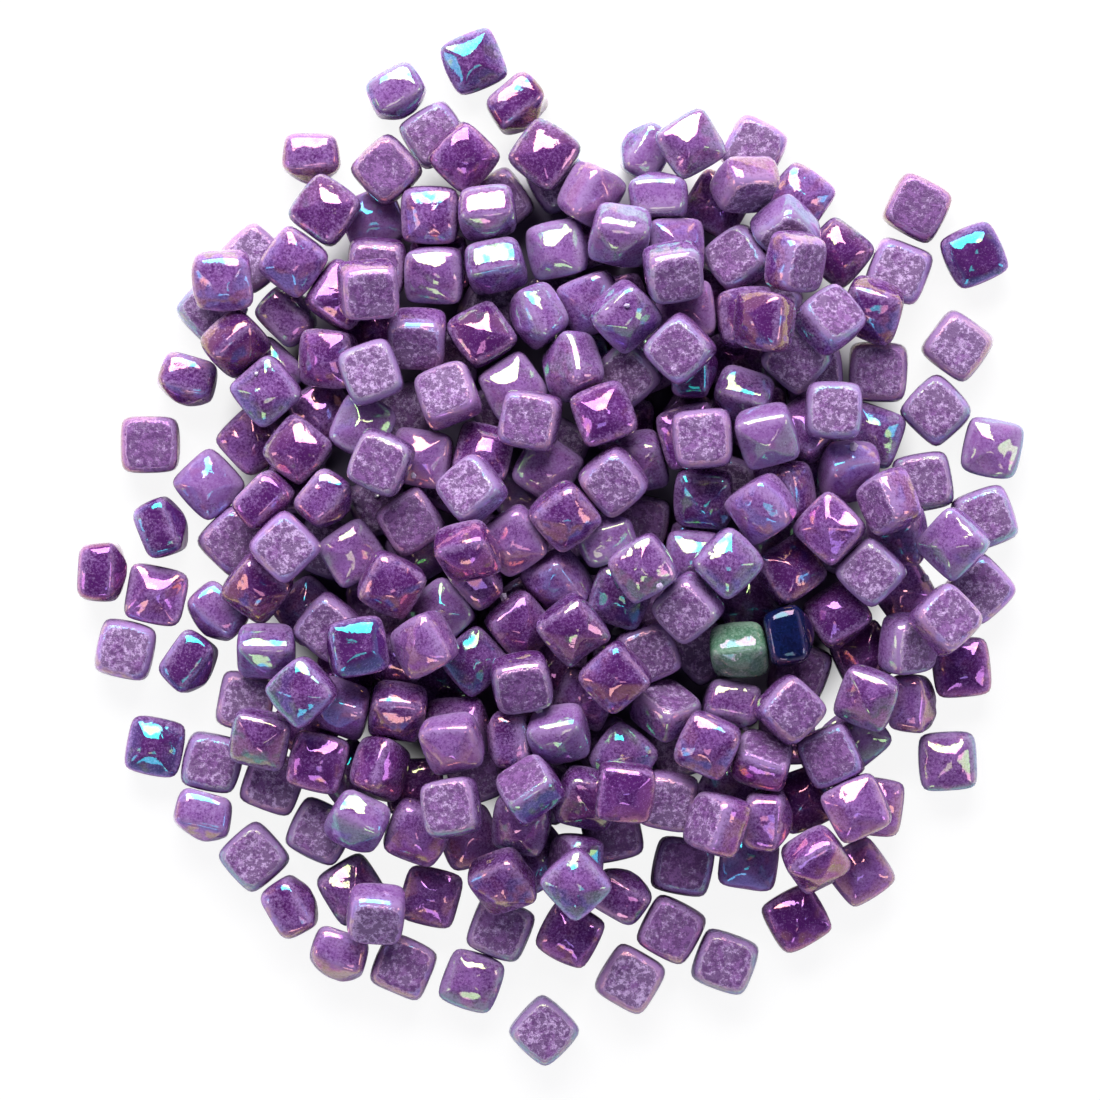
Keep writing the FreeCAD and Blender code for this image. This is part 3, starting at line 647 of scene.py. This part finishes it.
@dataclass
class Crumbs:
    """Splinters of clear glass that lie on the tiles beneath them.

    A place has x, y and the splinter's radius, in millimetres. Flaw and lift
    are shares of the radius, and drop is the height in metres to fall from.
    """

    places: tuple = (
        (-17.9, 9.3, 0.5), (-22.8, 6.6, 0.4), (39.3, 12.8, 0.55), (48.9, -4.2, 0.45), (-1.6, -21.5, 0.5),
        (13.9, -5.0, 0.55), (25.3, -23.6, 0.4), (-6.1, -6.8, 0.7), (-38.4, 22.5, 0.35), (9.8, 31.2, 0.35),
    )
    lustre: Lustre = Lustre.LILAC_TO_AQUA
    drop: float = 0.05
    stretch: tuple = (0.7, 1.25)
    flaw: float = 0.09
    lift: float = 0.45

    def build(self, seed: int) -> bpy.types.Object:
        """Drop every crumb on what lies beneath it.

        A crumb is a small ball, stretched along each axis and with each point
        a little off its place.

        Args:
            seed: start of the crumbs' random forms.

        Returns:
            The piece.
        """
        chance = np.random.default_rng(seed)
        scene = bpy.context.scene
        reach = bpy.context.evaluated_depsgraph_get()
        form = bmesh.new()
        for x, y, size in self.places:
            above = Vector((x * MM, y * MM, self.drop))
            struck, place, normal, *_ = scene.ray_cast(reach, above, Vector((0.0, 0.0, -1.0)))
            if not struck:
                continue
            made = bmesh.ops.create_icosphere(form, subdivisions=2, radius=size * MM)
            stretch = chance.uniform(*self.stretch, 3)
            for point in made["verts"]:
                flaw = Vector(chance.normal(0.0, self.flaw * size * MM, 3))
                point.co = Vector([along * factor for along, factor in zip(point.co, stretch)]) + flaw
                point.co += place + normal * (self.lift * size * MM)
        mesh = bpy.data.meshes.new("glass_crumbs")
        form.to_mesh(mesh)
        form.free()
        mesh.materials.append(Glass(CRUMB, self.lustre).material())
        piece = bpy.data.objects.new(mesh.name, mesh)
        scene.collection.objects.link(piece)
        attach(piece, "root")
        return piece


@dataclass(frozen=True)
class Softbox:
    """A lamp panel that faces the heap: angles in degrees, lengths in metres, power in watts."""

    name: str
    bearing: float
    elevation: float
    distance: float
    width: float
    height: float
    power: float
    colour: Colour

    def build(self) -> None:
        """Hang the lamp at its bearing and elevation, facing the heap."""
        turn, rise = np.radians(self.bearing), np.radians(self.elevation)
        towards = Vector((np.cos(turn) * np.cos(rise), np.sin(turn) * np.cos(rise), np.sin(rise)))
        lamp = bpy.data.lights.new(self.name, "AREA")
        lamp.shape = "RECTANGLE"
        lamp.size = self.width
        lamp.size_y = self.height
        lamp.energy = self.power
        lamp.color = self.colour
        item = bpy.data.objects.new(self.name, lamp)
        item.location = towards * self.distance
        item.rotation_euler = towards.to_track_quat("Z", "Y").to_euler()
        bpy.context.scene.collection.objects.link(item)


@dataclass
class Studio:
    """Floor, lamps, world and camera of the photograph.

    The view's and the sensor's measures are in millimetres. The floor's are in
    metres: it reaches that far each way, shade says between which distances
    from its middle it goes from a painted shade, darker under the heap's
    middle, to white, and glow says where its own white starts.
    """

    view_width: float = 144.7
    view_height: float = 1200.0
    view_x: float = -0.2
    view_y: float = -0.46
    sensor: float = 36.0
    floor_reach: float = 3.0
    # Middle, reach and colour of the painted shade that darkens the floor under the heap.
    middle: tuple = (0.002, 0.008, 0.0)
    shade: tuple = (0.036, 0.044)
    glow: tuple = (0.039, 0.047)
    glow_share: float = 0.90
    # Colour of the painted shade under the heap's middle.
    shaded: Colour = (0.16, 0.13, 0.20)
    white: Colour = (0.95, 0.95, 0.95)
    pale: Colour = (0.69, 0.64, 0.86)
    dim: Colour = (0.045, 0.035, 0.065)
    boxes: tuple = (
        Softbox("window", 97.0, 40.0, 0.70, 0.70, 0.46, 12.4, (1.0, 1.0, 0.98)),
        Softbox("front_card", 262.0, 34.0, 0.70, 0.26, 0.12, 0.45, (0.86, 0.93, 1.0)),
        Softbox("ceiling_card", 285.0, 66.0, 0.70, 0.24, 0.16, 0.35, (0.82, 0.90, 1.0)),
        Softbox("left_card", 190.0, 30.0, 0.70, 0.20, 0.16, 0.4, (1.0, 0.95, 0.98)),
        Softbox("right_card", -8.0, 32.0, 0.70, 0.22, 0.16, 0.5, (0.9, 0.95, 1.0)),
    )

    def build(self) -> None:
        """Set the stage."""
        self._floor()
        self._world()
        self._camera()
        for box in self.boxes:
            box.build()
        bpy.context.scene.view_settings.view_transform = "Standard"

    def _floor(self) -> None:
        """Floor, white to the camera, that keeps the heap's shadow and has a painted shade under the heap's middle.
        """
        mesh = bpy.data.meshes.new("floor")
        edge = self.floor_reach
        mesh.from_pydata([(-edge, -edge, 0), (edge, -edge, 0), (edge, edge, 0), (-edge, edge, 0)], [], [(0, 1, 2, 3)])
        graph = Graph(bpy.data.materials.new("white_floor_with_painted_shade"))
        place = graph.node("ShaderNodeTexCoord", {}, {}, "Object")
        moved = graph.node("ShaderNodeVectorMath", {"operation": "SUBTRACT"}, {0: place, 1: self.middle})
        outwards = graph.node("ShaderNodeVectorMath", {"operation": "LENGTH"}, {0: moved}, "Value")
        # Painted shade: the floor is darker under the heap's middle, so the gaps between tiles look dark.
        colour = graph.mix(outwards.step(*self.shade), self.shaded, self.white)
        inputs = {"Base Color": colour, "Roughness": 0.6, "Specular IOR Level": 0.2}
        cloth = graph.node("ShaderNodeBsdfPrincipled", {}, inputs)
        seen = graph.node("ShaderNodeLightPath", {}, {}, "Is Camera Ray")
        shine = graph.node("ShaderNodeEmission", {}, {"Color": (1.0, 1.0, 1.0, 1.0), "Strength": 1.0})
        share = seen * outwards.step(*self.glow) * self.glow_share
        mesh.materials.append(graph.finish(graph.node("ShaderNodeMixShader", {}, {0: share, 1: cloth, 2: shine})))
        floor = bpy.data.objects.new("floor", mesh)
        bpy.context.scene.collection.objects.link(floor)
        floor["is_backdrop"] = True

    def _world(self) -> None:
        """Soft light from all round, pale from the sides and dim from above."""
        graph = Graph(bpy.data.worlds.new("studio"))
        around = graph.node("ShaderNodeTexCoord", {}, {}, "Generated")
        rise = graph.node("ShaderNodeSeparateXYZ", {}, {0: around}, "Z")
        stops = ((0.0, self.pale), (0.28, self.pale), (0.70, self.dim), (1.0, self.dim))
        shade = graph.node("ShaderNodeValToRGB", {"stops": stops}, {0: rise})
        sky = graph.node("ShaderNodeBackground", {}, {"Color": shade, "Strength": 1.0})
        bpy.context.scene.world = graph.finish(sky, "ShaderNodeOutputWorld")

    def _camera(self) -> None:
        """Long lens that looks straight down on the heap."""
        lens = bpy.data.cameras.new("camera")
        lens.sensor_width = self.sensor
        lens.lens = self.sensor * self.view_height / self.view_width
        item = bpy.data.objects.new("camera", lens)
        item.location = Vector((self.view_x, self.view_y, self.view_height)) * MM
        bpy.context.scene.collection.objects.link(item)
        bpy.context.scene.camera = item


def main() -> None:
    """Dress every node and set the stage."""
    logging.basicConfig(level=logging.INFO, format="%(message)s")
    solid_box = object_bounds()
    glasses = {(finish.name, lustre): Glass(finish, lustre).material()
               for finish in (PURPLE, GREEN, BLUE) for lustre in Lustre}
    finishes = {"green_tile": GREEN, "blue_tile": BLUE}
    for seed, (name, source) in enumerate(sorted(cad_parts.items()), start=1):
        piece = TileGroup(name, finishes.get(name, PURPLE)).build(source, seed, solid_box, glasses)
        LOG.info("%s: %d faces", piece.name, len(piece.data.polygons))
    crumbs = Crumbs().build(CRUMB_SEED)
    LOG.info("%s: %d faces", crumbs.name, len(crumbs.data.polygons))
    Studio().build()


if __name__ == "__main__":
    main()
